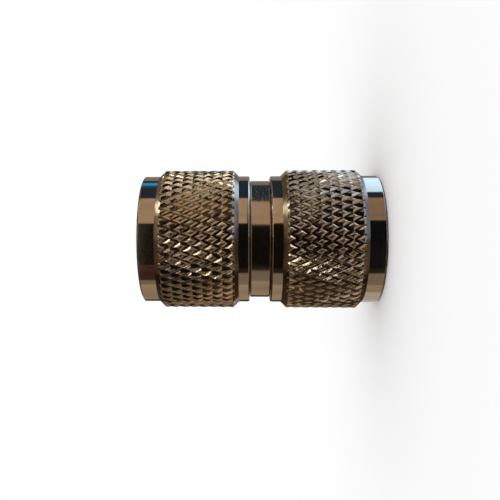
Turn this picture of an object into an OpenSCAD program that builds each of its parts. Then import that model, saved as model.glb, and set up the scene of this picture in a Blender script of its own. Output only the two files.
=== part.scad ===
// Double-ended UHF coaxial coupler: two knurled coupling nuts spin on a turned barrel,
// and one contact runs right through it and ends in a pin at each mouth.
// Millimetres, +Z up. The axis is Z and the coupler stands on the mouth of its lower nut.
// Everything at the upper end is the lower end turned end for end about the middle plane.

/* [Coupling nuts] */
// Length of one nut, from its mouth to the face that meets the centre band
nut_len = 14.6; // [13.6:0.1:18]
// Wall of the plain bands at both ends of the nut, outside the thread
thread_wall = 0.7625; // [0.6:0.0125:1]
// Height of the knurl's crests above those bands
grip_rise = 0.8; // [0.65:0.05:1.4]
// Length of the plain band at the mouth
mouth_band = 2.3; // [1:0.1:3.5]
// Length of the plain collar at the inner end
collar_band = 1.45; // [0.8:0.05:2.4]
// Chamfer round the rim of the mouth
rim_chamfer = 0.4; // [0.1:0.05:0.5]
// Broken edge of the nut's inner end and of the barrel
edge_break = 0.15; // [0.05:0.05:0.3]

/* [Knurl] */
// Number of grooves that run each way round the nut
knurl_starts = 50; // [30:1:70]
// Depth of the grooves below the crests
knurl_depth = 0.28; // [0.2:0.02:0.54]
// Angle of the left-hand grooves to the axis
left_angle = 28; // [15:1:40]
// Angle of the right-hand grooves to the axis
right_angle = 21.5; // [15:0.5:40]
// Flat on top of each diamond, as a share of the diamond's width
land_share = 0.3; // [0.15:0.05:0.5]

/* [Coupling thread] */
// Major diameter of the internal thread
thread_d = 15.875; // [15.6:0.025:16.1]
// Pitch of the thread
thread_pitch = 1.058; // [0.8:0.001:1.4]
// Length of the plain relief behind the thread
relief_len = 1.2; // [0.6:0.1:2]
// Depth of the relief and of the mouth's countersink beyond the thread
relief_depth = 0.06; // [0.02:0.02:0.16]

/* [Retaining rings] */
// Thickness of a ring along the axis
ring_t = 0.9; // [0.6:0.1:1.2]
// Width of a ring across its section
ring_w = 0.95; // [0.75:0.05:1.2]
// Depth to which a ring sits in the barrel
ring_bite = 0.55; // [0.35:0.05:0.7]
// Width of the split in a ring
ring_split = 1.6; // [0.6:0.1:3]
// Lip of the nut behind its ring
lip_back = 0.9; // [0.6:0.1:1.4]
// Lip of the nut in front of its ring
lip_front = 1; // [0.6:0.1:1.8]
// Distance that a nut floats along the barrel
nut_float = 0.8; // [0.3:0.1:1.4]

/* [Barrel] */
// Width of the band that shows between the nuts
band_w = 2.7; // [2:0.1:4]
// Height of that band above the rest of the barrel
band_rise = 1.05; // [0.8:0.05:1.4]
// Length of the barrel between its two mating rims
barrel_len = 13.6; // [12.6:0.1:16]
// Wall of the barrel between its ring grooves and the bore that takes the insulators
barrel_wall = 1; // [0.8:0.05:1.4]
// Width of the web in the middle of the bore
web_w = 2.4; // [1.4:0.1:4]
// Height of the web inside the bore
web_rise = 1; // [0.6:0.05:1.4]
// Number of locking notches in each mating rim
notch_count = 4; // [2:1:8]
// Width of a notch
notch_w = 1.8; // [0.8:0.1:2.6]
// Depth of a notch
notch_depth = 0.8; // [0.3:0.1:1.4]
// Chamfer inside each mating rim
bore_chamfer = 0.3; // [0.1:0.05:0.6]

/* [Insulators] */
// Depth of an insulator's face below the mating rim
face_depth = 0.6; // [0.2:0.1:1.4]
// Broken edge of an insulator's face
face_break = 0.25; // [0.1:0.05:0.4]

/* [Contact] */
// Diameter of the pin at each end
pin_d = 4; // [3.6:0.05:4.4]
// Depth of the pin's tip inside the mouth
tip_depth = 0.7; // [0.3:0.1:3]
// Radius round the tip
tip_round = 1.1; // [0.4:0.1:1.7]
// Diameter of the shank in the insulators
shank_d = 4.8; // [4.6:0.1:6]
// Diameter of the stop collar between the insulators
stop_d = 6.8; // [6.4:0.1:7.6]

/* [Fits] */
// Radial clearance of the barrel inside the thread
barrel_clear = 0.365; // [0.2:0.005:0.5]
// Radial clearance of a turning fit
running_fit = 0.05; // [0.02:0.01:0.1]
// Clearance of a pressed or seated fit
seat_fit = 0.02; // [0.01:0.01:0.04]
// Clearance between the nut's inner end and the centre band
band_gap = 0.05; // [0.02:0.01:0.1]
// Play of a ring along the axis in its grooves
ring_play = 0.05; // [0.02:0.01:0.1]

/* [Hidden] */
$fn = 128;

plated = "#a99a86";
band_plated = "#8f8678";
bronze = "#b07d45";
silvered = "#c9c4b8";
white_ptfe = "#f2f0ea";

// Heights above the mouth of the lower nut
middle = nut_len + band_gap + band_w / 2;
mating_rim = middle - barrel_len / 2;
face_height = mating_rim + face_depth;
web_height = middle - web_w / 2;
ring_top = nut_len - lip_back - ring_play;
ring_base = ring_top - ring_t;
lip_base = ring_base - ring_play - lip_front;

// Radii
sleeve_r = thread_d / 2 + thread_wall;
grip_r = sleeve_r + grip_rise;
valley_r = grip_r - knurl_depth;
// A basic internal thread is 1.0825 pitches narrower over its crests than its major diameter
crest_share = 1.0825;
minor_r = (thread_d - crest_share * thread_pitch) / 2;
relief_r = thread_d / 2 + relief_depth;
journal_r = minor_r - barrel_clear;
band_r = journal_r + band_rise;
lip_r = journal_r + running_fit;
ring_in_r = journal_r - ring_bite;
ring_out_r = ring_in_r + ring_w;
barrel_groove_r = ring_in_r - running_fit;
// The ring springs out of the way into this groove while the nut is pushed on
nut_groove_r = lip_r + ring_w;
insert_r = barrel_groove_r - barrel_wall;
web_r = insert_r - web_rise;
shank_r = shank_d / 2;
pin_r = pin_d / 2;

// The knurl's solid reaches down into the wall of the nut, clear of its grooves
core_r = (sleeve_r + max(relief_r, nut_groove_r)) / 2;
foot_r = (sleeve_r + core_r) / 2;

// Knurl lattice: grooves cross at the corners of the diamonds, in rows one row_step apart.
// The shoulders at its two ends slope at 45 degrees.
knurl_base = mouth_band + grip_rise;
knurl_len = nut_len - mouth_band - collar_band - 2 * grip_rise;
angle_sum = tan(left_angle) + tan(right_angle);
knurl_rows = max(2, round(knurl_len * angle_sum * knurl_starts / (2 * PI * grip_r)));
row_step = knurl_len / knurl_rows;
row_lean = tan(right_angle) / angle_sum;

// Corners of a diamond, clockwise from outside: left, top, right and bottom.
// Each is an offset from the diamond's centre, in pitches round the nut and rows along it.
corners = [[-0.5, 0], [row_lean - 0.5, 1], [0.5, 0], [0.5 - row_lean, -1]];
// The groove crossing at each corner: rows and starts from the diamond's own
crossings = [[0, 0], [1, 0], [0, 1], [-1, 1]];
corner_list = [0:len(corners) - 1];
left_right = [0, 2];
top_bottom = [1, 3];

// A point on the knurl: pitches round the nut, rows along it, radius and an extra height
function on_nut(pitches, row, radius, rise = 0) =
    let (turn = (pitches + row * row_lean) * 360 / knurl_starts)
    [radius * cos(turn), radius * sin(turn), knurl_base + row * row_step + rise];

// A point on the flat top of a diamond, near one of its corners
function land_point(row, start, corner) =
    let (offset = land_share * corner)
    on_nut(start + 0.5 + offset[0] - offset[1] * row_lean, row + offset[1], grip_r);

// Points: groove crossings, lands, and at each end the notches and the foot of the shoulder
rows = [0:knurl_rows];
starts = [0:knurl_starts - 1];
half_starts = [0:2 * knurl_starts - 1];
ends = [0, 1];
end_rows = [0, knurl_rows];
outward = [-1, 1];
knurl_points = concat(
    [for (row = rows) for (start = starts) on_nut(start, row, valley_r)],
    [for (row = rows) for (start = starts) for (corner = corners) land_point(row, start, corner)],
    [for (end = ends) for (start = starts)
        on_nut(start, end_rows[end], valley_r, outward[end] * knurl_depth)],
    [for (end = ends) for (half = half_starts)
        on_nut(half / 2, end_rows[end], foot_r, outward[end] * (grip_r - foot_r))]);

// Places of those points in the list
land_first = (knurl_rows + 1) * knurl_starts;
notch_first = land_first + len(corners) * land_first;
foot_first = notch_first + len(ends) * knurl_starts;
function crossing_at(row, start) = row * knurl_starts + start % knurl_starts;
function land_at(row, start, corner) =
    land_first + len(corners) * (row * knurl_starts + start) + corner;
function notch_at(end, start) = notch_first + end * knurl_starts + start % knurl_starts;
function foot_at(end, half) = foot_first + 2 * end * knurl_starts + half % (2 * knurl_starts);

// The groove crossing at a corner of a diamond
function corner_at(row, start, corner) =
    crossing_at(row + crossings[corner][0], start + crossings[corner][1]);

// One sloping side of a diamond, from a corner to the next one clockwise
function side_faces(row, start, corner) =
    let (next = (corner + 1) % len(corners))
    let (low_a = corner_at(row, start, corner), low_b = corner_at(row, start, next))
    let (high_a = land_at(row, start, corner), high_b = land_at(row, start, next))
    [[low_a, low_b, high_b], [low_a, high_b, high_a]];

function whole_diamond(row, start) = concat(
    [for (corner = corner_list) each side_faces(row, start, corner)],
    [[for (corner = corner_list) land_at(row, start, corner)]]);

function turned_over(faces) = [for (face = faces) [for (i = [len(face) - 1:-1:0]) face[i]]];

// Half a diamond in an end row, with the notches beside it and the shoulder that it ends on
function end_diamond(end, start) =
    let (row = end_rows[end], inner = top_bottom[end])
    let (land_a = land_at(row, start, left_right[0]), land_b = land_at(row, start, left_right[1]))
    let (notch_a = notch_at(end, start), notch_b = notch_at(end, start + 1))
    let (foot_a = foot_at(end, 2 * start), foot_b = foot_at(end, 2 * start + 2))
    let (foot_mid = foot_at(end, 2 * start + 1))
    let (faces = [
        [land_a, land_at(row, start, inner), land_b],
        [notch_a, crossing_at(row, start), land_a],
        [notch_b, land_b, crossing_at(row, start + 1)],
        [foot_a, notch_a, land_a],
        [foot_a, land_a, foot_mid],
        [foot_mid, land_a, land_b],
        [foot_mid, land_b, foot_b],
        [foot_b, land_b, notch_b]])
    concat(
        end == 0 ? faces : turned_over(faces),
        side_faces(row, start, left_right[end]),
        side_faces(row, start, inner));

knurl_faces = concat(
    [for (row = [1:knurl_rows - 1]) for (start = starts) each whole_diamond(row, start)],
    [for (end = ends) for (start = starts) each end_diamond(end, start)],
    [[for (half = half_starts) foot_at(0, half)]],
    turned_over([[for (half = half_starts) foot_at(1, half)]]));

// Turned section of a nut: bands outside, then the lip with its ring groove, relief, thread and mouth
nut_outline = [
    [relief_r, 0],
    [sleeve_r - rim_chamfer, 0],
    [sleeve_r, rim_chamfer],
    [sleeve_r, nut_len - edge_break],
    [sleeve_r - edge_break, nut_len],
    [lip_r, nut_len],
    [lip_r, nut_len - lip_back],
    [nut_groove_r, nut_len - lip_back],
    [nut_groove_r, ring_base - ring_play],
    [lip_r, ring_base - ring_play],
    [lip_r, lip_base],
    [relief_r, lip_base],
    [relief_r, lip_base - relief_len],
    [minor_r, lip_base - relief_len - relief_r + minor_r],
    [minor_r, relief_r - minor_r]];

// Lower half of the barrel's section, from the outside of the centre band round its rim to the web
barrel_outline = [
    [band_r, middle - band_w / 2 + edge_break],
    [band_r - edge_break, middle - band_w / 2],
    [journal_r, middle - band_w / 2],
    [journal_r, ring_top + ring_play],
    [barrel_groove_r, ring_top + ring_play],
    [barrel_groove_r, ring_base - nut_float - ring_play],
    [journal_r, ring_base - nut_float - ring_play],
    [journal_r, mating_rim + edge_break],
    [journal_r - edge_break, mating_rim],
    [insert_r + bore_chamfer, mating_rim],
    [insert_r, mating_rim + bore_chamfer],
    [insert_r, web_height],
    [web_r, web_height]];

insulator_outline = [
    [shank_r + seat_fit, face_height],
    [insert_r - seat_fit - face_break, face_height],
    [insert_r - seat_fit, face_height + face_break],
    [insert_r - seat_fit, web_height - seat_fit],
    [shank_r + seat_fit, web_height - seat_fit]];

// A lower half section and its image in the middle plane, as one closed outline
function with_upper_half(half) =
    concat(half, [for (i = [len(half) - 1:-1:0]) [half[i][0], 2 * middle - half[i][1]]]);

module at_upper_end() {
    translate([0, 0, 2 * middle])
        rotate([180, 0, 0])
            children();
}

module knurl() {
    difference() {
        polyhedron(knurl_points, knurl_faces);
        cylinder(h = nut_len, r = core_r);
    }
}

module coupling_nut() {
    color(plated)
        union() {
            rotate_extrude()
                polygon(nut_outline);
            knurl();
        }
}

module retaining_ring() {
    color(bronze)
        difference() {
            translate([0, 0, ring_base])
                cylinder(h = ring_t, r = ring_out_r);
            cylinder(h = nut_len, r = ring_in_r);
            translate([0, -ring_split / 2, 0])
                cube([nut_len, ring_split, nut_len]);
        }
}

module insulator() {
    color(white_ptfe)
        rotate_extrude()
            polygon(insulator_outline);
}

// Notches across the lower mating rim, which lock into the other connector
module rim_notches() {
    for (i = [0:notch_count - 1])
        rotate([0, 0, i * 360 / notch_count])
            translate([0, -notch_w / 2, 0])
                cube([sleeve_r, notch_w, mating_rim + notch_depth]);
}

// Pin at the lower end, with a rounded tip
module pin() {
    rotate_extrude() {
        translate([0, tip_depth + tip_round])
            square([pin_r, web_height - tip_depth - tip_round]);
        translate([0, tip_depth])
            square([pin_r - tip_round, tip_round]);
        intersection() {
            translate([pin_r - tip_round, tip_depth + tip_round])
                circle(r = tip_round);
            translate([pin_r - tip_round, tip_depth])
                square(tip_round);
        }
    }
}

module barrel() {
    color(band_plated)
        difference() {
            rotate_extrude()
                polygon(with_upper_half(barrel_outline));
            rim_notches();
            at_upper_end()
                rim_notches();
        }
}

module coupling_nut_lower() {
    coupling_nut();
}

module coupling_nut_upper() {
    at_upper_end()
        coupling_nut();
}

module retaining_ring_lower() {
    retaining_ring();
}

module retaining_ring_upper() {
    at_upper_end()
        retaining_ring();
}

module insulator_lower() {
    insulator();
}

module insulator_upper() {
    at_upper_end()
        insulator();
}

module centre_contact() {
    color(silvered)
        union() {
            translate([0, 0, face_height])
                cylinder(h = 2 * (middle - face_height), r = shank_r);
            translate([0, 0, web_height + seat_fit])
                cylinder(h = web_w - 2 * seat_fit, d = stop_d);
            pin();
            at_upper_end()
                pin();
        }
}

barrel();
coupling_nut_lower();
coupling_nut_upper();
retaining_ring_lower();
retaining_ring_upper();
insulator_lower();
insulator_upper();
centre_contact();
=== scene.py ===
"""Visual model of a double-ended UHF coaxial coupler, built around its solids.

Metres, +Z up along the coupler's axis. In the photograph the coupler lies on its side, with its lower nut
at the right.
"""

import math

import bmesh
import bpy
from mathutils import Matrix, Vector


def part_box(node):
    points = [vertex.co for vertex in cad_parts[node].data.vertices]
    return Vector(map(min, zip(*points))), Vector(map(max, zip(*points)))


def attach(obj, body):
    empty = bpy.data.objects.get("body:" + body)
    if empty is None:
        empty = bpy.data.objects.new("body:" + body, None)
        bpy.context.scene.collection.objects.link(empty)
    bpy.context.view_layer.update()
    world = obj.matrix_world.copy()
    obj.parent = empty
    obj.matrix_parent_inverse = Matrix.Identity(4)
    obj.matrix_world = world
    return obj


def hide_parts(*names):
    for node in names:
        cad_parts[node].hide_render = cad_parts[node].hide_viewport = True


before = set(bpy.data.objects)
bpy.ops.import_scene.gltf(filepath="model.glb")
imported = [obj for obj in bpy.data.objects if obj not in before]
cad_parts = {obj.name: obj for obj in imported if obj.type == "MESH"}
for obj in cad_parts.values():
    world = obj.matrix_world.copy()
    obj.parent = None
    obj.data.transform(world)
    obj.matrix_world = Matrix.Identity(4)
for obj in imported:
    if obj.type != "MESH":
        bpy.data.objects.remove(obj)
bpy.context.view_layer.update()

bl_info = {
    "name": "UHF coaxial coupler",
    "version": (1, 0, 0),
    "blender": (4, 5, 0),
    "location": "3D View > Sidebar > Coupler",
    "description": "Models and finishes a double-ended UHF coaxial coupler around its solids",
    "category": "Object",
}

MM = 0.001
FULL_TURN = 2 * math.pi
# Points closer than this are one point
WELD = 0.001 * MM
# Points closer than this to a cut lie on it
ON_CUT = WELD / 10
# Steps round a turned piece
TURN_STEPS = 192
# Steps across a rounded edge
ROUND_STEPS = 3
# Faces that meet at less than this are shaded as one
SMOOTH_UP_TO = math.radians(24)
# Sizes of a unified thread as shares of its pitch: height of a ridge, its width at the root and at the crest
RIDGE_HEIGHT, RIDGE_ROOT, RIDGE_CREST = 0.5413, 0.875, 0.25

nut_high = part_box("coupling_nut_lower")[1]
barrel_low, barrel_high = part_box("barrel")
ring_low, ring_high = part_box("retaining_ring_lower")
insulator_low, insulator_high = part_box("insulator_lower")
contact_low, contact_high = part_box("centre_contact")
MIDDLE = (contact_low.z + contact_high.z) / 2


def linear(hex_colour):
    """The linear RGBA of an sRGB hex colour."""
    channels = [int(hex_colour[i : i + 2], 16) / 255 for i in (1, 3, 5)]
    return (*[c / 12.92 if c <= 0.04045 else ((c + 0.055) / 1.055) ** 2.4 for c in channels], 1.0)


def darker(shade, share):
    """A linear colour at this share of its brightness."""
    return (*[share * c for c in shade[:3]], 1.0)


def number(name, description, default):
    """A property that holds a plain number."""
    return bpy.props.FloatProperty(name=name, description=description, default=default)


def length(name, description, millimetres):
    """A property that holds a length, whose default is given in millimetres."""
    return bpy.props.FloatProperty(
        name=name,
        description=description,
        default=millimetres * MM,
        min=0,
        precision=5,
        unit="LENGTH",
        subtype="DISTANCE",
    )


def angle(name, description, degrees):
    """A property that holds an angle, whose default is given in degrees."""
    return bpy.props.FloatProperty(
        name=name, description=description, default=math.radians(degrees), subtype="ANGLE"
    )


def colour(name, description, default):
    """A property that holds a colour, whose default is an sRGB hex value."""
    return bpy.props.FloatVectorProperty(
        name=name, description=description, default=linear(default), size=4, min=0, max=1, subtype="COLOR"
    )


class CouplingNutSizes(bpy.types.PropertyGroup):
    """Turned shape of the coupling nuts."""

    nut_length: length("Length", "Length of one nut along the axis", nut_high.z / MM)
    grip_diameter: length("Over the knurl", "Diameter over the crests of the knurl", 19)
    band_diameter: length("Plain bands", "Diameter of the plain bands at both ends", 17.4)
    mouth_band: length("Mouth band", "Length of the plain band at the mouth", 2.3)
    collar_band: length("Collar", "Length of the plain collar beside the centre band", 1.45)
    rim_chamfer: length("Rim chamfer", "Width of the chamfer on the rim of the mouth", 0.4)
    rim_depth: length("Rim depth", "Depth of that chamfer along the axis", 0.22)
    edge_break: length("Edge break", "Chamfer round the inner end", 0.15)
    edge_round: length("Edge rounding", "Polished rounding on every turned edge", 0.05)
    lip_diameter: length("Lip", "Bore of the lips that hold the retaining ring", 14.1)
    ring_groove_diameter: length("Ring groove", "Diameter of the groove for the retaining ring", 16)
    ring_play: length("Ring play", "Room beside the ring in its groove", 0.05)
    lip_front: length("Front lip", "Width of the lip between the ring and the thread", 1)


class KnurlSizes(bpy.types.PropertyGroup):
    """Diamond knurl of the coupling nuts."""

    starts: bpy.props.IntProperty(name="Starts", description="Grooves that run each way round", default=50)
    depth: length("Depth", "Depth of the grooves below the crests", 0.305)
    groove_width: length("Groove width", "Width of a groove at its top", 0.72)
    land_round: length("Crest rounding", "Width of the rounding round the top of each diamond", 0.14)
    left_angle: angle("Left-hand angle", "Angle of the left-hand grooves to the axis", 28)
    right_angle: angle("Right-hand angle", "Angle of the right-hand grooves to the axis", 21.5)


class ThreadSizes(bpy.types.PropertyGroup):
    """Internal thread of the coupling nuts."""

    major_diameter: length("Major diameter", "Diameter at the bottom of the thread", 15.875)
    pitch: length("Pitch", "Distance from one turn to the next", 1.058)
    relief: length("Relief", "Plain bore behind the thread", 1.2)
    lead_in: length("Lead-in", "Depth of the first turn inside the mouth", 0.32)


class BarrelSizes(bpy.types.PropertyGroup):
    """Turned shape of the barrel."""

    band_diameter: length("Centre band", "Diameter of the band between the nuts", 2 * barrel_high.x / MM)
    band_width: length("Band width", "Width of the band between the nuts", 2.7)
    journal_diameter: length("Journal", "Diameter on which the nuts turn", 14)
    groove_diameter: length("Ring groove", "Diameter at the bottom of the ring grooves", 12.8)
    nut_float: length("Float", "Distance that a nut slides along the barrel", 0.8)
    bore_diameter: length("Bore", "Bore that takes the insulators", 10.8)
    web_diameter: length("Web", "Bore of the web between the insulators", 8.8)
    bore_chamfer: length("Bore chamfer", "Chamfer inside each mating rim", 0.3)
    notch_width: length("Notch width", "Width of the locking notches", 1.8)
    notch_depth: length("Notch depth", "Depth of the locking notches", 0.8)


class CoreSizes(bpy.types.PropertyGroup):
    """Turned shapes of the insulators and the centre contact."""

    face_break: length("Face break", "Broken edge round an insulator's face", 0.25)
    pin_diameter: length("Pin", "Diameter of the contact pins", 4)
    tip_round: length("Tip rounding", "Radius round the tip of a pin", 1.1)
    shank_diameter: length("Shank", "Diameter of the contact in the insulators", 4.8)
    stop_diameter: length("Stop", "Diameter of the collar between the insulators", 6.8)
    seat: length("Seat", "Clearance of a seated fit", 0.02)


class FinishColours(bpy.types.PropertyGroup):
    """Colours of the finishes."""

    nickel: colour("Nickel", "Bright nickel plate", "#cfc4b2")
    tarnish: colour("Tarnish", "Brown film in the grooves of the knurl", "#5b4630")
    silver: colour("Silver", "Silver plate", "#e4ded2")
    silver_tarnish: colour("Silver tarnish", "Yellowed silver plate", "#b79f6d")
    ptfe: colour("PTFE", "Turned white PTFE", "#f1efe9")
    bronze: colour("Bronze", "Plain phosphor bronze", "#b9834a")
    floor: colour("Floor", "Pale studio floor", "#ffffff")


class StageSizes(bpy.types.PropertyGroup):
    """Camera and reflection cards."""

    camera_distance: length("Camera distance", "Distance of the camera from the axis", 94.7)
    camera_height: length("Camera height", "Height of the camera above the floor", 18.06)
    camera_tilt: angle("Camera tilt", "Angle by which the camera looks up", 3.36)
    lens: number("Lens", "Focal length on a 36 mm sensor", 48.71)
    shift_across: number("Shift across", "Shift of the picture's frame to the right", 0.09)
    shift_up: number("Shift up", "Shift of the picture's frame upwards", -0.0222)
    card_distance: length("Card distance", "Distance of the reflection cards from the axis", 150)


GROUPS = {
    "coupler_nut": CouplingNutSizes,
    "coupler_knurl": KnurlSizes,
    "coupler_thread": ThreadSizes,
    "coupler_barrel": BarrelSizes,
    "coupler_core": CoreSizes,
    "coupler_finish": FinishColours,
    "coupler_stage": StageSizes,
}


def settings(group):
    """The scene's values of one property group."""
    return getattr(bpy.context.scene, "coupler_" + group)


def clear_selection():
    """Leaves object mode with nothing selected."""
    if bpy.context.mode != "OBJECT":
        bpy.ops.object.mode_set(mode="OBJECT")
    bpy.ops.object.select_all(action="DESELECT")


def pick(kind, test):
    """Selects, in edit mode, the vertices, edges or faces whose points all pass the test."""
    bpy.ops.mesh.select_mode(type=kind)
    bpy.ops.mesh.select_all(action="DESELECT")
    mesh = bmesh.from_edit_mesh(bpy.context.object.data)
    if kind == "VERT":
        found = [v for v in mesh.verts if test(v.co)]
    else:
        parts = mesh.edges if kind == "EDGE" else mesh.faces
        found = [part for part in parts if all(test(v.co) for v in part.verts)]
    if not found:
        raise RuntimeError("nothing to select on " + bpy.context.object.name)
    for part in found:
        part.select_set(True)
    bmesh.update_edit_mesh(bpy.context.object.data)


def apply_modifier(piece, kind, **values):
    """Adds a modifier with these values and applies it."""
    modifier = piece.modifiers.new(kind.lower(), kind)
    for name, value in values.items():
        setattr(modifier, name, value)
    bpy.ops.object.modifier_apply(modifier=modifier.name)


def weld(outward=True):
    """Merges doubled points and turns the faces outwards, in edit mode."""
    bpy.ops.mesh.select_mode(type="VERT")
    bpy.ops.mesh.select_all(action="SELECT")
    bpy.ops.mesh.remove_doubles(threshold=WELD)
    if outward:
        bpy.ops.mesh.select_all(action="SELECT")
        bpy.ops.mesh.normals_make_consistent(inside=False)


def start_outline(name, outline):
    """A new mesh in edit mode: a line through these points, each a radius and a height."""
    clear_selection()
    bpy.ops.mesh.primitive_plane_add(size=MM)
    piece = bpy.context.object
    piece.name = piece.data.name = name
    bpy.ops.object.mode_set(mode="EDIT")
    bpy.ops.mesh.select_all(action="SELECT")
    bpy.ops.mesh.merge(type="CENTER")
    radius, height = outline[0]
    bpy.ops.transform.translate(value=(radius, 0, height))
    for (r0, z0), (r1, z1) in zip(outline, outline[1:]):
        bpy.ops.mesh.extrude_vertices_move(TRANSFORM_OT_translate={"value": (r1 - r0, 0, z1 - z0)})
    bpy.ops.mesh.select_all(action="SELECT")
    bpy.ops.mesh.remove_doubles(threshold=WELD)
    return piece


def turn(name, outline, rounding, steps=TURN_STEPS):
    """A turned piece: an outline with rounded corners, spun about the axis.

    A closed outline ends where it starts.
    """
    piece = start_outline(name, outline)
    ends = [] if outline[0] == outline[-1] else [outline[0], outline[-1]]
    places = [Vector((radius, 0, height)) for radius, height in ends]
    pick("VERT", lambda co: all((co - place).length > WELD for place in places))
    bpy.ops.mesh.bevel(offset=rounding, segments=ROUND_STEPS, affect="VERTICES", clamp_overlap=True)
    bpy.ops.mesh.select_all(action="SELECT")
    bpy.ops.mesh.spin(steps=steps, angle=FULL_TURN, center=(0, 0, 0), axis=(0, 0, 1), use_auto_merge=True)
    weld()
    return piece


def join(*pieces):
    """Joins the pieces into the first one and opens it in edit mode."""
    clear_selection()
    for piece in pieces:
        piece.select_set(True)
    bpy.context.view_layer.objects.active = pieces[0]
    bpy.ops.object.join()
    bpy.ops.object.mode_set(mode="EDIT")
    return pieces[0]


def bridge(low, high):
    """Joins the two open rims that lie between these heights."""
    bpy.ops.mesh.select_mode(type="EDGE")
    bpy.ops.mesh.select_all(action="DESELECT")
    mesh = bmesh.from_edit_mesh(bpy.context.object.data)
    for edge in mesh.edges:
        if edge.is_boundary and all(low < v.co.z < high for v in edge.verts):
            edge.select_set(True)
    bmesh.update_edit_mesh(bpy.context.object.data)
    bpy.ops.mesh.bridge_edge_loops()


def end_for_end(piece, name):
    """A copy of a lower piece with its own mesh, turned end for end about the middle."""
    clear_selection()
    piece.select_set(True)
    bpy.context.view_layer.objects.active = piece
    bpy.ops.object.duplicate()
    copy = bpy.context.object
    copy.name = copy.data.name = name
    copy.rotation_euler = (math.pi, 0, 0)
    copy.location = (0, 0, 2 * MIDDLE)
    bpy.ops.object.transform_apply(location=True, rotation=True, scale=True)
    return copy


def finish_piece(piece, body, node, material):
    """Smooths a piece, gives it its material and puts it in the place of its CAD node."""
    clear_selection()
    piece.select_set(True)
    bpy.context.view_layer.objects.active = piece
    bpy.ops.object.shade_smooth_by_angle(angle=SMOOTH_UP_TO)
    apply_modifier(piece, "WEIGHTED_NORMAL", keep_sharp=True)
    piece.data.materials.clear()
    piece.data.materials.append(material)
    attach(piece, body)
    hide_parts(node)


def add_node(tree, kind, values=(), **inputs):
    """Adds a node with these settings, and links or sets its inputs by name, with spaces as underscores."""
    node = tree.nodes.new("ShaderNode" + kind)
    for name, value in dict(values).items():
        setattr(node, name, value)
    for name, value in inputs.items():
        key = int(name[1:]) if name[1:].isdigit() else name.replace("_", " ")
        if isinstance(value, bpy.types.NodeSocket):
            tree.links.new(value, node.inputs[key])
        else:
            node.inputs[key].default_value = value
    return node


def start_material(name):
    """A new material, its node tree, its shader and the piece's own coordinates."""
    material = bpy.data.materials.new(name)
    material.use_nodes = True
    tree = material.node_tree
    shader = tree.nodes["Principled BSDF"]
    place = add_node(tree, "TexCoord").outputs["Object"]
    return material, tree, shader, place


def per_mm(size):
    """Texture scale at which a feature is this many millimetres wide."""
    return 1 / (size * MM)


def distance_from_axis(tree, place):
    """The distance of a place from the coupler's axis."""
    flat = add_node(tree, "VectorMath", {"operation": "MULTIPLY"}, _0=place, _1=(1, 1, 0))
    return add_node(tree, "VectorMath", {"operation": "LENGTH"}, _0=flat.outputs["Vector"]).outputs["Value"]


def fine_specks(tree, place):
    """Where specks lie on the plate, from 0 to 1."""
    grain = add_node(tree, "TexNoise", Vector=place, Scale=per_mm(0.22), Detail=1.0).outputs["Fac"]
    return add_node(tree, "MapRange", Value=grain, From_Min=0.52, From_Max=0.66).outputs["Result"]


def turning_marks(tree, place, speck, speck_strength):
    """The surface of turned plate: fine rings along the axis, and specks that stand a little proud."""
    height = add_node(tree, "SeparateXYZ", Vector=place).outputs["Z"]
    ring_place = add_node(tree, "Math", {"operation": "MULTIPLY"}, _0=height, _1=per_mm(0.09)).outputs[0]
    rings = add_node(tree, "TexNoise", {"noise_dimensions": "1D"}, W=ring_place, Scale=1.0, Detail=2.0)
    ring_bump = add_node(tree, "Bump", Strength=0.25, Distance=0.002 * MM, Height=rings.outputs["Fac"])
    return add_node(
        tree,
        "Bump",
        Strength=speck_strength,
        Distance=0.004 * MM,
        Height=speck,
        Normal=ring_bump.outputs["Normal"],
    ).outputs["Normal"]


def turned_nickel():
    """Bright nickel plate on turned brass: a warm, faintly cloudy mirror with fine turning rings.

    Specks dull it, most of them on the side towards +X.
    """
    material, tree, shader, place = start_material("Bright nickel plate on turned brass")
    nickel = settings("finish").nickel
    cloud = add_node(tree, "TexNoise", Vector=place, Scale=per_mm(4), Detail=3.0).outputs["Fac"]
    plate = add_node(tree, "Mix", {"data_type": "RGBA"}, _0=cloud, _6=nickel, _7=darker(nickel, 0.9))
    tree.links.new(plate.outputs[2], shader.inputs["Base Color"])

    across = add_node(tree, "SeparateXYZ", Vector=place).outputs["X"]
    side = add_node(tree, "MapRange", Value=across, From_Min=2 * MM, From_Max=7 * MM, To_Min=0.1)
    speck = add_node(
        tree, "Math", {"operation": "MULTIPLY"}, _0=fine_specks(tree, place), _1=side.outputs["Result"]
    ).outputs[0]
    rough = add_node(tree, "MapRange", Value=speck, To_Min=0.13, To_Max=0.3)
    tree.links.new(rough.outputs["Result"], shader.inputs["Roughness"])
    tree.links.new(turning_marks(tree, place, speck, 0.8), shader.inputs["Normal"])
    shader.inputs["Metallic"].default_value = 1.0
    return material


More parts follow.
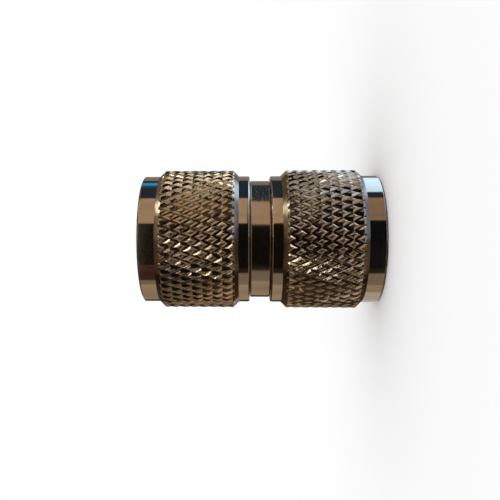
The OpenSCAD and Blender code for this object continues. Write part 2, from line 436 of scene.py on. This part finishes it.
def knurled_nickel():
    """Bright nickel plate on knurled brass: a warm mirror, with fine turning rings on the plain bands.

    On the knurl the facets are a little uneven, the tops of the diamonds are scuffed, and a brown film has
    settled in the grooves.
    """
    material, tree, shader, place = start_material("Bright nickel plate on knurled brass")
    colours, nut, knurl = settings("finish"), settings("nut"), settings("knurl")
    grip, band = nut.grip_diameter / 2, nut.band_diameter / 2
    radius = distance_from_axis(tree, place)
    on_knurl = add_node(
        tree, "Math", {"operation": "GREATER_THAN"}, _0=radius, _1=band + 0.03 * MM
    ).outputs[0]
    depth = add_node(
        tree, "MapRange", Value=radius, From_Min=grip - 0.1 * knurl.depth, From_Max=grip - knurl.depth
    ).outputs["Result"]
    settled = add_node(tree, "Math", {"operation": "MULTIPLY"}, _0=depth, _1=on_knurl).outputs[0]
    cloud = add_node(tree, "TexNoise", Vector=place, Scale=per_mm(4), Detail=3.0).outputs["Fac"]
    film = add_node(tree, "Math", {"operation": "MULTIPLY"}, _0=settled, _1=cloud).outputs[0]
    film = add_node(
        tree, "Math", {"operation": "MULTIPLY", "use_clamp": True}, _0=film, _1=0.7
    ).outputs[0]
    plate = add_node(tree, "Mix", {"data_type": "RGBA"}, _0=film, _6=colours.nickel, _7=colours.tarnish)
    tree.links.new(plate.outputs[2], shader.inputs["Base Color"])

    smooth = add_node(tree, "MapRange", Value=on_knurl, To_Min=0.085, To_Max=0.05).outputs["Result"]
    grimy = add_node(tree, "MapRange", Value=settled, From_Min=0.7, To_Max=0.22).outputs["Result"]
    scuffed = add_node(
        tree,
        "MapRange",
        Value=radius,
        From_Min=grip - 0.3 * knurl.depth,
        From_Max=grip - 0.08 * knurl.depth,
        To_Max=0.3,
    ).outputs["Result"]
    rough = add_node(tree, "Math", {"operation": "MAXIMUM"}, _0=smooth, _1=grimy).outputs[0]
    rough = add_node(tree, "Math", {"operation": "MAXIMUM"}, _0=rough, _1=scuffed).outputs[0]
    tree.links.new(rough, shader.inputs["Roughness"])

    uneven = add_node(tree, "TexNoise", Vector=place, Scale=per_mm(1.3), Detail=3.0, Roughness=0.4)
    waves = add_node(tree, "Math", {"operation": "MULTIPLY"}, _0=uneven.outputs["Fac"], _1=on_knurl)
    bump = add_node(
        tree,
        "Bump",
        Strength=1.0,
        Distance=0.014 * MM,
        Height=waves.outputs[0],
        Normal=turning_marks(tree, place, fine_specks(tree, place), 0.05),
    )
    tree.links.new(bump.outputs["Normal"], shader.inputs["Normal"])
    shader.inputs["Metallic"].default_value = 1.0
    return material


def turned_ptfe():
    """Turned white PTFE: waxy white with fine tool rings."""
    material, tree, shader, place = start_material("Turned white PTFE")
    white = settings("finish").ptfe
    radius = distance_from_axis(tree, place)
    ring_place = add_node(tree, "Math", {"operation": "MULTIPLY"}, _0=radius, _1=per_mm(0.12)).outputs[0]
    rings = add_node(tree, "TexNoise", {"noise_dimensions": "1D"}, W=ring_place, Scale=1.0).outputs["Fac"]
    shade = add_node(tree, "Mix", {"data_type": "RGBA"}, _0=rings, _6=white, _7=darker(white, 0.9))
    tree.links.new(shade.outputs[2], shader.inputs["Base Color"])
    bump = add_node(tree, "Bump", Strength=0.35, Distance=0.01 * MM, Height=rings)
    tree.links.new(bump.outputs["Normal"], shader.inputs["Normal"])
    shader.inputs["Roughness"].default_value = 0.42
    shader.inputs["IOR"].default_value = 1.35
    return material


def aged_metal(name, clean, tarnish, roughness):
    """Plain metal with cloudy tarnish: bright where it is clean, darker and duller where it isn't."""
    material, tree, shader, place = start_material(name)
    cloud = add_node(tree, "TexNoise", Vector=place, Scale=per_mm(1.6), Detail=4.0, Roughness=0.6)
    share = add_node(
        tree, "MapRange", Value=cloud.outputs["Fac"], From_Min=0.4, From_Max=0.75, To_Max=0.8
    ).outputs["Result"]
    shade = add_node(tree, "Mix", {"data_type": "RGBA"}, _0=share, _6=clean, _7=tarnish)
    tree.links.new(shade.outputs[2], shader.inputs["Base Color"])
    rough = add_node(tree, "MapRange", Value=share, To_Min=roughness, To_Max=2 * roughness)
    tree.links.new(rough.outputs["Result"], shader.inputs["Roughness"])
    grain = add_node(tree, "TexNoise", Vector=place, Scale=per_mm(0.1), Detail=2.0)
    bump = add_node(tree, "Bump", Strength=0.2, Distance=0.003 * MM, Height=grain.outputs["Fac"])
    tree.links.new(bump.outputs["Normal"], shader.inputs["Normal"])
    shader.inputs["Metallic"].default_value = 1.0
    return material


def model_knurl():
    """Knurled sleeve, open at both ends: one diamond, repeated as a flat sheet and rolled up.

    On the sheet X goes round the nut and Z along it, and -Y is outwards from the crests.
    """
    nut, knurl = settings("nut"), settings("knurl")
    grip, rise = nut.grip_diameter / 2, (nut.grip_diameter - nut.band_diameter) / 2
    base = nut.mouth_band + rise
    collar = nut.nut_length - nut.collar_band
    top = collar - rise
    pitch = FULL_TURN * grip / knurl.starts
    angle_sum = math.tan(knurl.left_angle) + math.tan(knurl.right_angle)
    rows = round((top - base) * angle_sum / pitch)
    step = (top - base) / rows
    lean = math.tan(knurl.right_angle) / angle_sum * pitch
    # Rows past both ends, which the cuts then take off
    spare_rows = 3

    clear_selection()
    bpy.ops.mesh.primitive_circle_add(vertices=4, radius=1, fill_type="NGON", rotation=(math.pi / 2, 0, 0))
    bpy.ops.object.transform_apply(location=True, rotation=True, scale=True)
    sheet = bpy.context.object
    sheet.name = sheet.data.name = "knurl"
    bpy.ops.object.mode_set(mode="EDIT")
    bpy.ops.mesh.select_all(action="SELECT")
    bpy.ops.transform.resize(value=(pitch / 2, 1, step), center_override=(0, 0, 0))
    for end in (1, -1):
        pick("VERT", lambda co: co.z * end > step / 2)
        bpy.ops.transform.translate(value=(end * (lean - pitch / 2), 0, 0))
    bpy.ops.mesh.select_mode(type="FACE")
    bpy.ops.mesh.select_all(action="SELECT")
    bpy.ops.transform.translate(value=(-lean, knurl.depth, base - step))
    bpy.ops.mesh.inset(thickness=knurl.groove_width / 2, depth=knurl.depth)
    pick("EDGE", lambda co: co.y < knurl.depth / 2)
    bpy.ops.mesh.bevel(offset=knurl.land_round, segments=ROUND_STEPS, affect="EDGES", clamp_overlap=True)
    bpy.ops.object.mode_set(mode="OBJECT")
    for count, offset in ((knurl.starts, (pitch, 0, 0)), (rows + spare_rows, (lean, 0, step))):
        apply_modifier(
            sheet,
            "ARRAY",
            count=count,
            use_relative_offset=False,
            use_constant_offset=True,
            constant_offset_displace=offset,
            use_merge_vertices=True,
            merge_threshold=WELD,
        )
    bpy.ops.object.mode_set(mode="EDIT")
    weld(outward=False)
    for height, slope, foot in ((base, 1, nut.mouth_band), (top, -1, collar)):
        bpy.ops.mesh.select_all(action="SELECT")
        bpy.ops.mesh.bisect(
            plane_co=(0, 0, height), plane_no=(0, 1, slope), clear_inner=True, threshold=ON_CUT
        )
        pick("EDGE", lambda co: abs(co.y + slope * (co.z - height)) < WELD)
        bpy.ops.mesh.extrude_edges_move()
        bpy.ops.transform.resize(value=(1, 0, 0), center_override=(0, rise, foot))
    bpy.ops.object.mode_set(mode="OBJECT")
    across = [v.co.x for v in sheet.data.vertices]
    apply_modifier(
        sheet,
        "SIMPLE_DEFORM",
        deform_method="BEND",
        deform_axis="Z",
        angle=FULL_TURN * (max(across) - min(across)) / (knurl.starts * pitch),
    )
    bpy.ops.object.mode_set(mode="EDIT")
    bpy.ops.mesh.select_all(action="SELECT")
    bpy.ops.transform.translate(value=(0, -grip, 0))
    weld(outward=False)
    return sheet


def model_thread():
    """Ridge of the internal thread: a 60 degree section swept along a right-hand helix.

    It starts in front of the mouth, and is cut flat at both ends.
    """
    nut, thread = settings("nut"), settings("thread")
    root = thread.major_diameter / 2
    ridge = RIDGE_HEIGHT * thread.pitch
    base, crest = RIDGE_ROOT * thread.pitch, RIDGE_CREST * thread.pitch
    # Depth by which the ridge stands in the wall
    sunk = 0.04 * MM
    # Turns past each end, which the cuts then take off
    spare_turns = 2
    first = -spare_turns * thread.pitch
    end = ring_low.z - nut.ring_play - nut.lip_front - thread.relief
    outline = [
        (root + sunk, first - base / 2),
        (root, first - base / 2),
        (root - ridge, first - crest / 2),
        (root - ridge, first + crest / 2),
        (root, first + base / 2),
        (root + sunk, first + base / 2),
    ]
    piece = start_outline("thread", [*outline, outline[0]])
    bpy.ops.object.mode_set(mode="OBJECT")
    apply_modifier(
        piece,
        "SCREW",
        axis="Z",
        angle=FULL_TURN,
        screw_offset=thread.pitch,
        iterations=math.ceil(end / thread.pitch) + 2 * spare_turns,
        steps=TURN_STEPS // 3,
        render_steps=TURN_STEPS // 3,
    )
    bpy.ops.object.mode_set(mode="EDIT")
    for height, slope in ((thread.lead_in, 1), (end, -1)):
        bpy.ops.mesh.select_all(action="SELECT")
        bpy.ops.mesh.bisect(
            plane_co=(0, 0, height),
            plane_no=(0, 0, slope),
            use_fill=True,
            clear_inner=True,
            threshold=ON_CUT,
        )
    weld()
    return piece


def model_nut():
    """One coupling nut: turned ends and bore, bridged to the knurled sleeve, with its thread."""
    nut, thread = settings("nut"), settings("thread")
    band, lip = nut.band_diameter / 2, nut.lip_diameter / 2
    root = thread.major_diameter / 2
    relief_step, mouth_chamfer = 0.06 * MM, 0.16 * MM
    relief = root + relief_step
    groove = nut.ring_groove_diameter / 2
    groove_low, groove_high = ring_low.z - nut.ring_play, ring_high.z + nut.ring_play
    lip_low = groove_low - nut.lip_front
    # Strip beside each foot of the knurl that the bridges fill
    bridge_width = 0.06 * MM
    collar = nut.nut_length - nut.collar_band
    outline = [
        (band, nut.mouth_band - bridge_width),
        (band, nut.rim_depth),
        (band - nut.rim_chamfer, 0),
        (root + mouth_chamfer, 0),
        (root, mouth_chamfer),
        (root, lip_low - thread.relief),
        (relief, lip_low - thread.relief + relief_step),
        (relief, lip_low),
        (lip, lip_low),
        (lip, groove_low),
        (groove, groove_low),
        (groove, groove_high),
        (lip, groove_high),
        (lip, nut.nut_length),
        (band - nut.edge_break, nut.nut_length),
        (band, nut.nut_length - nut.edge_break),
        (band, collar + bridge_width),
    ]
    body = turn("coupling_nut_lower_plated", outline, nut.edge_round)
    sleeve = model_knurl()
    thread_ridge = model_thread()
    piece = join(body, sleeve)
    reach = 1.5 * bridge_width
    for foot in (nut.mouth_band, collar):
        bridge(foot - reach, foot + reach)
    weld()
    piece = join(piece, thread_ridge)
    clear_selection()
    return piece


def model_barrel():
    """The barrel: a turned body with locking notches across both of its rims."""
    barrel, nut = settings("barrel"), settings("nut")
    journal, groove = barrel.journal_diameter / 2, barrel.groove_diameter / 2
    band, bore = barrel.band_diameter / 2, barrel.bore_diameter / 2
    rim = barrel_low.z
    band_low = MIDDLE - barrel.band_width / 2
    web = insulator_high.z
    lower = [
        (band, band_low + nut.edge_break),
        (band - nut.edge_break, band_low),
        (journal, band_low),
        (journal, ring_high.z + nut.ring_play),
        (groove, ring_high.z + nut.ring_play),
        (groove, ring_low.z - barrel.nut_float - nut.ring_play),
        (journal, ring_low.z - barrel.nut_float - nut.ring_play),
        (journal, rim + nut.edge_break),
        (journal - nut.edge_break, rim),
        (bore + barrel.bore_chamfer, rim),
        (bore, rim + barrel.bore_chamfer),
        (bore, web),
        (barrel.web_diameter / 2, web),
    ]
    upper = [(radius, 2 * MIDDLE - height) for radius, height in reversed(lower)]
    piece = turn("barrel_plated", [*lower, *upper, lower[0]], nut.edge_round)
    # Each cutter goes right across the barrel
    across = 2.5 * journal
    cutters = []
    for height in (rim, 2 * MIDDLE - rim):
        for turned in (0, math.pi / 2):
            clear_selection()
            bpy.ops.mesh.primitive_cube_add(size=1, location=(0, 0, height), rotation=(0, 0, turned))
            cutter = bpy.context.object
            cutter.scale = (across, barrel.notch_width, 2 * barrel.notch_depth)
            bpy.ops.object.transform_apply(location=True, rotation=True, scale=True)
            cutters.append(cutter)
    for cutter in cutters:
        clear_selection()
        piece.select_set(True)
        bpy.context.view_layer.objects.active = piece
        apply_modifier(piece, "BOOLEAN", operation="DIFFERENCE", solver="EXACT", object=cutter)
    clear_selection()
    for cutter in cutters:
        cutter.select_set(True)
    bpy.ops.object.delete()
    return piece


def model_insulator():
    """One PTFE insulator: a turned sleeve with a broken edge and a countersunk hole."""
    core, nut = settings("core"), settings("nut")
    outer = insulator_high.x
    hole = core.shank_diameter / 2 + core.seat
    low, high = insulator_low.z, insulator_high.z
    outline = [
        (hole + core.face_break / 2, low),
        (outer - core.face_break, low),
        (outer, low + core.face_break),
        (outer, high),
        (hole, high),
        (hole, low + core.face_break / 2),
    ]
    return turn("insulator_lower_ptfe", [*outline, outline[0]], nut.edge_round)


def model_contact():
    """The centre contact: a turned bar with a stop collar and, at each end, a round-tipped pin."""
    core, nut = settings("core"), settings("nut")
    pin, shank, stop = core.pin_diameter / 2, core.shank_diameter / 2, core.stop_diameter / 2
    tip, face = contact_low.z, insulator_low.z
    shoulder = insulator_high.z + 2 * core.seat
    tip_steps = 8
    lower = [(0, tip)]
    for i in range(tip_steps + 1):
        turned = i * math.pi / 2 / tip_steps
        lower.append(
            (
                pin - core.tip_round + core.tip_round * math.sin(turned),
                tip + core.tip_round - core.tip_round * math.cos(turned),
            )
        )
    lower += [(pin, face), (shank, face), (shank, shoulder), (stop, shoulder)]
    upper = [(radius, 2 * MIDDLE - height) for radius, height in reversed(lower)]
    return turn("centre_contact_silvered", [*lower, *upper], nut.edge_round / 2, TURN_STEPS // 2)


class CouplingNuts(bpy.types.Operator):
    """Models the two knurled coupling nuts with their threads."""

    bl_idname = "coupler.coupling_nuts"
    bl_label = "Coupling nuts"

    def execute(self, context):
        lower = model_nut()
        upper = end_for_end(lower, "coupling_nut_upper_plated")
        material = knurled_nickel()
        finish_piece(lower, "nut_lower", "coupling_nut_lower", material)
        finish_piece(upper, "nut_upper", "coupling_nut_upper", material)
        return {"FINISHED"}


class Barrel(bpy.types.Operator):
    """Models the barrel with its centre band and locking notches."""

    bl_idname = "coupler.barrel"
    bl_label = "Barrel"

    def execute(self, context):
        finish_piece(model_barrel(), "barrel", "barrel", turned_nickel())
        return {"FINISHED"}


class Insulators(bpy.types.Operator):
    """Models the two PTFE insulators."""

    bl_idname = "coupler.insulators"
    bl_label = "Insulators"

    def execute(self, context):
        lower = model_insulator()
        upper = end_for_end(lower, "insulator_upper_ptfe")
        material = turned_ptfe()
        finish_piece(lower, "barrel", "insulator_lower", material)
        finish_piece(upper, "barrel", "insulator_upper", material)
        return {"FINISHED"}


class CentreContact(bpy.types.Operator):
    """Models the contact that runs right through the coupler."""

    bl_idname = "coupler.centre_contact"
    bl_label = "Centre contact"

    def execute(self, context):
        colours = settings("finish")
        material = aged_metal("Silver plate on turned brass", colours.silver, colours.silver_tarnish, 0.16)
        finish_piece(model_contact(), "barrel", "centre_contact", material)
        return {"FINISHED"}


class RetainingRings(bpy.types.Operator):
    """Gives the split retaining rings their bronze finish."""

    bl_idname = "coupler.retaining_rings"
    bl_label = "Retaining rings"

    def execute(self, context):
        bronze = settings("finish").bronze
        material = aged_metal("Plain phosphor bronze", bronze, darker(bronze, 0.5), 0.22)
        for node in ("retaining_ring_lower", "retaining_ring_upper"):
            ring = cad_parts[node]
            ring.data.materials.clear()
            ring.data.materials.append(material)
        return {"FINISHED"}


# Degrees of a card's arc to one step of its mesh
CARD_STEP = 5
# Distance of the smaller cards as a share of that of the others
NEAR_SHARE = 0.95
# Length of the floor's sides in metres
FLOOR_SIZE = 6
# Reflection cards that stand in a ring round the coupler. Each has its colour, its brightness, the two
# angles between which it stands, from the camera's side towards +X, and its lowest and highest edge from
# the middle, as shares of the cards' distance.
ROOM_CARDS = {
    "dark_front": ("#14120f", 1.0, -52, 27, -0.235, 0.28),
    "right_dark": ("#131419", 1.0, -52, 32, -0.32, -0.235),
    "dim_front": ("#29241f", 1.0, -62, -52, -0.32, 0.28),
    "tan_wall": ("#b99d83", 1.0, 27, 76, -0.12, 0.28),
    "wall_gap": ("#2e261d", 1.0, 27, 76, -0.235, -0.12),
    "right_wall": ("#9a8068", 1.0, 32, 76, -0.32, -0.235),
    "navy_wall": ("#2a3140", 1.0, 76, 130, -0.34, 0.3),
    "left_side": ("#5e4d38", 1.0, 76, 130, 0.3, 1.2),
    "right_side": ("#6e665c", 1.0, 76, 130, -1.2, -0.34),
    "grey_back": ("#8f867c", 1.0, 130, 190, -0.34, 0.3),
    "left_back": ("#2b2620", 1.0, 130, 190, 0.3, 0.42),
    "left_corner": ("#7a6752", 1.0, 130, 161, 0.42, 1.2),
    "left_rear": ("#2b2620", 1.0, 161, 190, 0.42, 1.2),
    "right_back": ("#2b2620", 1.0, 130, 190, -0.45, -0.34),
    "right_corner": ("#9fb0d8", 1.0, 130, 161, -1.2, -0.45),
    "right_rear": ("#1d1b1a", 1.0, 161, 190, -1.2, -0.45),
    "umber_left": ("#84756c", 1.0, -88, -62, 0.19, 0.28),
    "umber_middle": ("#84756c", 1.0, -88, -62, -0.12, 0.06),
    "umber_right": ("#84756c", 1.0, -88, -62, -0.32, -0.23),
    "brown_left": ("#a6937e", 1.0, -145, -88, 0.19, 0.28),
    "brown_middle": ("#a6937e", 1.0, -145, -88, -0.12, 0.06),
    "brown_right": ("#a6937e", 1.0, -145, -88, -0.32, -0.23),
    "left_gap": ("#2b231b", 1.0, -145, -104, 0.06, 0.19),
    "right_gap": ("#2b231b", 1.0, -145, -104, -0.23, -0.12),
    "left_joint": ("#84756c", 1.0, -104, -62, 0.06, 0.19),
    "right_joint": ("#84756c", 1.0, -104, -62, -0.23, -0.12),
    "brown_back": ("#4a3a2a", 1.0, -170, -145, -1.2, 1.2),
    "left_under": ("#3e3226", 1.0, -145, -62, 0.28, 1.2),
    "right_under": ("#3e3226", 1.0, -145, -62, -1.2, -0.32),
    "left_front": ("#1d1812", 1.0, -12, 76, 0.28, 0.6),
    "left_far": ("#4c3f30", 1.0, -12, 76, 0.6, 1.2),
    "left_low": ("#7a664f", 1.0, -62, -12, 0.57, 1.2),
    "left_lower": ("#4a3d2f", 1.0, -62, -12, 0.28, 0.57),
    "right_front": ("#1d1812", 1.0, -12, 76, -1.2, -0.32),
    "right_low": ("#3d3228", 1.0, -62, -12, -1.2, -0.32),
}
# Smaller cards in front of those, by the same measures
NEAR_CARDS = {
    "left_amber": ("#9a7f60", 1.4, -82, -58, 0.48, 0.66),
    "left_tan": ("#b09370", 1.35, -52, 5, 0.595, 0.7),
    "left_sand": ("#d8c2a0", 1.0, 5, 22, 0.57, 0.69),
    "left_cream": ("#f0e2c8", 1.2, 22, 43, 0.55, 0.67),
    "left_light": ("#fff2dc", 1.2, 43, 64, 0.5, 0.62),
    "left_bright": ("#fff2dc", 1.4, 64, 100, 0.43, 0.55),
    "left_board": ("#b09370", 1.4, -28, 5, -0.57, -0.43),
    "left_bench": ("#b09370", 1.5, -60, -28, -0.5, -0.38),
    "left_stool": ("#b09370", 1.3, -85, -60, -0.46, -0.32),
    "left_shelf": ("#d8c2a0", 1.0, 5, 45, -0.57, -0.45),
    "left_rail": ("#fff2dc", 1.6, 45, 66, -0.53, -0.4),
    "left_ledge": ("#fff2dc", 2.0, 66, 90, -0.46, -0.35),
    "right_clay": ("#a89a8c", 1.7, -60, 15, 0.285, 0.342),
    "right_grey": ("#c8c4c0", 1.0, 15, 45, 0.285, 0.35),
    "right_silver": ("#c5c9d2", 1.2, 45, 110, 0.08, 0.18),
    "right_dusk": ("#8d8078", 1.6, -82, -50, -1.2, -0.66),
    "right_tan": ("#a09488", 1.5, -50, 5, -1.2, -0.8),
    "right_sky": ("#c3cbe0", 1.1, 5, 45, -1.2, -0.79),
    "right_light": ("#d5deef", 1.3, 45, 66, -1.2, -0.74),
    "right_bright": ("#d5deef", 1.4, 66, 90, -1.2, -0.67),
    "right_window": ("#bddeff", 2.0, 90, 141, -1.2, -0.2),
    "right_paper": ("#c8bfb4", 1.0, -176, -108, -0.34, -0.2),
    "left_window": ("#35a5ff", 1.1, 111, 121, 0.19, 0.28),
    "left_pane": ("#1f5560", 1.0, 104, 111, 0.19, 0.28),
    "left_curtain": ("#452a26", 1.0, -78, -46, 0.19, 0.275),
    "left_tube_a": ("#fff4e2", 5.0, 48, 82, 0.712, 0.736),
    "left_tube_b": ("#fff4e2", 4.0, 34, 48, 0.69, 0.712),
    "left_tube_c": ("#fff4e2", 4.0, 4, 22, 0.75, 0.776),
    "left_tube_d": ("#fff4e2", 4.0, 28, 36, 0.808, 0.83),
    "left_tube_e": ("#fff4e2", 2.5, 58, 74, 0.645, 0.662),
    "left_tube_f": ("#fff4e2", 0.8, 40, 75, 0.78, 0.81),
    "right_tube_a": ("#fff4e2", 5.5, 33, 43, 0.482, 0.5),
    "right_tube_b": ("#fff4e2", 5.5, 23, 33, 0.46, 0.48),
    "right_tube_c": ("#fff4e2", 4.5, 13, 23, 0.437, 0.455),
    "right_tube_d": ("#fff4e2", 3.0, 3, 13, 0.412, 0.425),
    "right_tube_e": ("#fff4e2", 3.0, -5, 3, 0.386, 0.398),
    "right_tube_f": ("#fff4e2", 5.0, 35, 46, 0.435, 0.452),
    "right_tube_g": ("#fff4e2", 5.0, 27, 35, 0.408, 0.424),
    "right_tube_h": ("#fff4e2", 4.5, 15, 27, 0.384, 0.402),
    "middle_sky": ("#6f86b0", 0.16, 82, 124, -0.05, 0.0),
}
# Cards hung with small lamps: how many millimetres these are apart, their radius as a share of that, and
# their brightness
LAMPS = {
    "left_light": (18, 0.26, 5.0),
    "left_bright": (18, 0.26, 5.0),
    "right_light": (18, 0.26, 5.0),
    "right_bright": (18, 0.26, 5.0),
    "right_sky": (14, 0.24, 4.0),
    "right_tan": (14, 0.22, 3.0),
    "left_cream": (14, 0.24, 3.0),
}
# Flat cards above and below: colour, brightness, two angles, height, and inner and outer radius
FLAT_CARDS = {
    "ceiling": ("#9a866e", 1.0, 5, 185, 1.2, 0.001, 0.7),
    "ceiling_low": ("#5d4b3a", 1.0, 185, 365, 1.2, 0.001, 0.7),
    "ceiling_lamp": ("#fff4e2", 2.8, 98, 130, 1.17, 0.48, 0.76),
    "ceiling_edge": ("#8f867c", 1.0, 5, 150, 1.2, 0.7, 1),
    "ceiling_corner": ("#1d1915", 1.0, 150, 365, 1.2, 0.7, 1),
    "underside_sky": ("#9fb0d6", 1.0, 5, 185, -1.2, 0.001, 0.7),
    "underside_wood": ("#6e5a44", 1.0, 185, 365, -1.2, 0.001, 0.7),
    "underside_edge": ("#98a8cc", 1.0, 5, 150, -1.2, 0.7, 1),
    "underside_corner": ("#1d1915", 1.0, 150, 365, -1.2, 0.7, 1),
}


def card_material(name, shade, brightness):
    """A lit card with faint clouds, so that it never looks printed."""
    material = bpy.data.materials.new(name)
    material.use_nodes = True
    tree = material.node_tree
    tree.nodes.clear()
    place = add_node(tree, "TexCoord").outputs["Object"]
    cloud = add_node(tree, "TexNoise", Vector=place, Scale=per_mm(60), Detail=2.0).outputs["Fac"]
    strength = add_node(
        tree,
        "MapRange",
        Value=cloud,
        From_Min=0.3,
        From_Max=0.7,
        To_Min=0.85 * brightness,
        To_Max=1.15 * brightness,
    ).outputs["Result"]
    if name in LAMPS:
        apart, radius, glow = LAMPS[name]
        cells = add_node(tree, "TexVoronoi", Vector=place, Scale=per_mm(apart)).outputs["Distance"]
        lamp = add_node(
            tree, "MapRange", Value=cells, From_Min=0.75 * radius, From_Max=radius, To_Min=glow, To_Max=0.0
        ).outputs["Result"]
        strength = add_node(tree, "Math", {"operation": "ADD"}, _0=strength, _1=lamp).outputs[0]
    light = add_node(tree, "Emission", Color=linear(shade), Strength=strength)
    output = add_node(tree, "OutputMaterial")
    tree.links.new(light.outputs["Emission"], output.inputs["Surface"])
    return material


def show_in_metal(card, material):
    """Leaves a card visible to reflections only, so that it colours the plate and lights nothing else."""
    card.data.materials.append(material)
    card.visible_camera = card.visible_diffuse = card.visible_transmission = card.visible_shadow = False


def spin_card(name, outline, shade, brightness, start, end):
    """A card spun round the axis from a line, between two angles from the camera's side."""
    card = start_outline(name, outline)
    bpy.ops.mesh.select_all(action="SELECT")
    bpy.ops.mesh.spin(
        steps=max(2, round((end - start) / CARD_STEP)),
        angle=math.radians(start - end),
        center=(0, 0, 0),
        axis=(0, 0, 1),
    )
    clear_selection()
    card.select_set(True)
    card.rotation_euler = (0, 0, math.radians(start - 90))
    bpy.ops.object.transform_apply(location=True, rotation=True, scale=True)
    show_in_metal(card, card_material(name, shade, brightness))


def lay_floor():
    """A plain pale floor that takes the shadow and doesn't show in the metal."""
    clear_selection()
    bpy.ops.mesh.primitive_plane_add(size=FLOOR_SIZE)
    floor = bpy.context.object
    floor.name = "floor"
    material, tree, shader, place = start_material("Pale matt floor")
    pale = settings("finish").floor
    grain = add_node(tree, "TexNoise", Vector=place, Scale=per_mm(30)).outputs["Fac"]
    shade = add_node(tree, "Mix", {"data_type": "RGBA"}, _0=grain, _6=pale, _7=darker(pale, 0.995))
    tree.links.new(shade.outputs[2], shader.inputs["Base Color"])
    shader.inputs["Roughness"].default_value = 0.7
    shader.inputs["Specular IOR Level"].default_value = 0.0
    floor.data.materials.append(material)
    floor.visible_glossy = False


def stand_cards():
    """All the reflection cards, at their distance from the axis."""
    distance = settings("stage").card_distance
    for cards, reach in ((ROOM_CARDS, distance), (NEAR_CARDS, NEAR_SHARE * distance)):
        for name, (shade, brightness, start, end, low, high) in cards.items():
            outline = [(reach, MIDDLE + low * reach), (reach, MIDDLE + high * reach)]
            spin_card(name, outline, shade, brightness, start, end)
    for name, (shade, brightness, start, end, height, inner, outer) in FLAT_CARDS.items():
        level = MIDDLE + height * distance
        outline = [(inner * distance, level), (outer * distance, level)]
        spin_card(name, outline, shade, brightness, start, end)


def place_camera():
    """A camera that looks along +Y with +X upwards, so that the coupler lies on its side in the picture."""
    stage = settings("stage")
    clear_selection()
    bpy.ops.object.camera_add(location=(0, -stage.camera_distance, stage.camera_height))
    camera = bpy.context.object
    sine, cosine = math.sin(stage.camera_tilt), math.cos(stage.camera_tilt)
    right, up, back = Vector((0, sine, -cosine)), Vector((1, 0, 0)), Vector((0, -cosine, -sine))
    camera.rotation_euler = Matrix((right, up, back)).transposed().to_euler()
    camera.data.lens = stage.lens
    camera.data.shift_x = stage.shift_across
    camera.data.shift_y = stage.shift_up
    camera.data.clip_start = 1 * MM
    return camera


class Stage(bpy.types.Operator):
    """Sets up the light, the floor, the reflection cards and the camera."""

    bl_idname = "coupler.stage"
    bl_label = "Stage"

    def execute(self, context):
        scene = context.scene
        scene.view_settings.view_transform = "Standard"
        world = bpy.data.worlds.new("studio")
        world.use_nodes = True
        world.node_tree.nodes["Background"].inputs["Color"].default_value = (1, 1, 1, 1)
        world.node_tree.nodes["Background"].inputs["Strength"].default_value = 1.0
        scene.world = world
        lay_floor()
        stand_cards()
        scene.camera = place_camera()
        return {"FINISHED"}


OPERATORS = (CouplingNuts, Barrel, Insulators, CentreContact, RetainingRings, Stage)


class CouplerPanel(bpy.types.Panel):
    """Lists the coupler's pieces and stage."""

    bl_idname = "VIEW3D_PT_coupler"
    bl_label = "Coaxial coupler"
    bl_space_type = "VIEW_3D"
    bl_region_type = "UI"
    bl_category = "Coupler"

    def draw(self, context):
        for operator in OPERATORS:
            self.layout.operator(operator.bl_idname)
        for name, group in GROUPS.items():
            box = self.layout.box()
            for key in group.__annotations__:
                box.prop(getattr(context.scene, name), key)


CLASSES = (*GROUPS.values(), *OPERATORS, CouplerPanel)


def register():
    for each in CLASSES:
        bpy.utils.register_class(each)
    for name, group in GROUPS.items():
        setattr(bpy.types.Scene, name, bpy.props.PointerProperty(type=group))


def unregister():
    for name in GROUPS:
        delattr(bpy.types.Scene, name)
    for each in reversed(CLASSES):
        bpy.utils.unregister_class(each)


def main():
    register()
    bpy.ops.coupler.coupling_nuts()
    bpy.ops.coupler.barrel()
    bpy.ops.coupler.insulators()
    bpy.ops.coupler.centre_contact()
    bpy.ops.coupler.retaining_rings()
    bpy.ops.coupler.stage()
    clear_selection()


if __name__ == "__main__":
    main()
